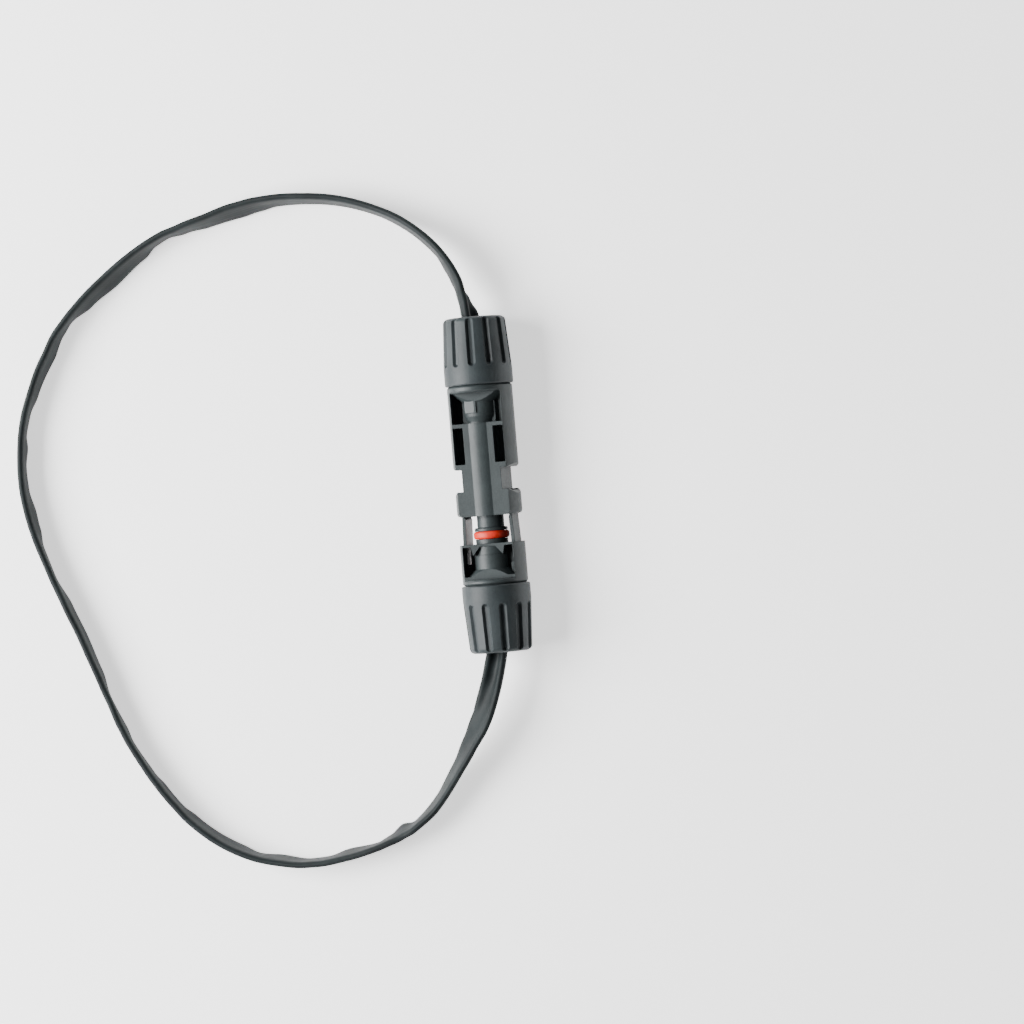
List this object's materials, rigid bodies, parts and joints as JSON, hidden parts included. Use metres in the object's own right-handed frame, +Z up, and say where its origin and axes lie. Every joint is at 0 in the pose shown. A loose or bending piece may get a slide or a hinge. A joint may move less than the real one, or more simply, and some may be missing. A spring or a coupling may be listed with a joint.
{
  "type": "solar cable connector",
  "caption": "Locking two-part solar cable connector, partly mated, with gland nuts, latch fingers, ring seal and a flat braided lead looped between its ends.",
  "frame": {"origin": "on the ground under the middle of the connector pair, which lies on its nuts", "axes": "+Y along the connector towards the pin side, +Z up, the lead's loop lies to the -X side"},
  "size_m": [0.1553, 0.1971, 0.0195],
  "materials": {
    "housing_plastic": "moulded glass-filled plastic, mid-dark grey, satin",
    "nut_plastic": "moulded glass-filled plastic, mid-dark grey, satin",
    "cage_plastic": "moulded acetal, black",
    "cable_seal_rubber": "soft elastomer, dark",
    "ring_seal_rubber": "silicone rubber, red",
    "contact_metal": "tin-plated copper alloy",
    "clip_steel": "spring steel",
    "braid_metal": "tinned copper braid",
    "lead_sleeve": "heat-shrink sleeve, dark grey, satin"
  },
  "bodies": {
    "pin_body": {"pin_housing": "housing_plastic", "pin_contact": "contact_metal", "pin_retaining_clip": "clip_steel", "pin_braid_end": "braid_metal", "pin_cable_tail": "lead_sleeve", "lead_pin_half": "lead_sleeve"},
    "pin_cage": {"pin_clamp_cage": "cage_plastic", "pin_cable_seal": "cable_seal_rubber"},
    "pin_nut": {"pin_nut": "nut_plastic"},
    "socket_body": {"socket_housing": "housing_plastic", "socket_seal_ring": "ring_seal_rubber", "socket_contact": "contact_metal", "socket_contact_spring": "contact_metal", "socket_retaining_clip": "clip_steel", "socket_braid_end": "braid_metal", "socket_cable_tail": "lead_sleeve", "lead_socket_half": "lead_sleeve"},
    "latch_left": {"latch_finger_left": "housing_plastic"},
    "latch_right": {"latch_finger_right": "housing_plastic"},
    "socket_cage": {"socket_clamp_cage": "cage_plastic", "socket_cable_seal": "cable_seal_rubber"},
    "socket_nut": {"socket_nut": "nut_plastic"}
  },
  "joints": [
    {"name": "mate_slide", "type": "slide", "parent": "pin_body", "child": "socket_body", "axis": [0, -1, 0], "range_m": [-0.0074, 0.035]},
    {"name": "latch_left_flex", "type": "hinge", "parent": "socket_body", "child": "latch_left", "pos_m": [-0.00743, -0.0237, 0.00975], "axis": [0, 0, -1], "range_deg": [-2.2, 1.2], "stiffness_Nm_per_rad": 0.5, "springref_deg": -2.2},
    {"name": "latch_right_flex", "type": "hinge", "parent": "socket_body", "child": "latch_right", "pos_m": [0.00743, -0.0237, 0.00975], "axis": [0, 0, 1], "range_deg": [-2.2, 1.2], "stiffness_Nm_per_rad": 0.5, "springref_deg": -2.2},
    {"name": "pin_cage_slide", "type": "slide", "parent": "pin_body", "child": "pin_cage", "axis": [0, 1, 0], "range_m": [0, 0.006]},
    {"name": "pin_nut_turn", "type": "hinge", "parent": "pin_cage", "child": "pin_nut", "pos_m": [0, 0.0383, 0.00975], "axis": [0, 1, 0], "range_deg": [0, 1440]},
    {"name": "socket_cage_slide", "type": "slide", "parent": "socket_body", "child": "socket_cage", "axis": [0, -1, 0], "range_m": [0, 0.006]},
    {"name": "socket_nut_turn", "type": "hinge", "parent": "socket_cage", "child": "socket_nut", "pos_m": [0, -0.0383, 0.00975], "axis": [0, -1, 0], "range_deg": [0, 1440]}
  ],
  "couplings": [
    {"joint": "pin_nut_turn", "follows": "pin_cage_slide", "rad_per_m": 4188.8},
    {"joint": "socket_nut_turn", "follows": "socket_cage_slide", "rad_per_m": 4188.8}
  ]
}
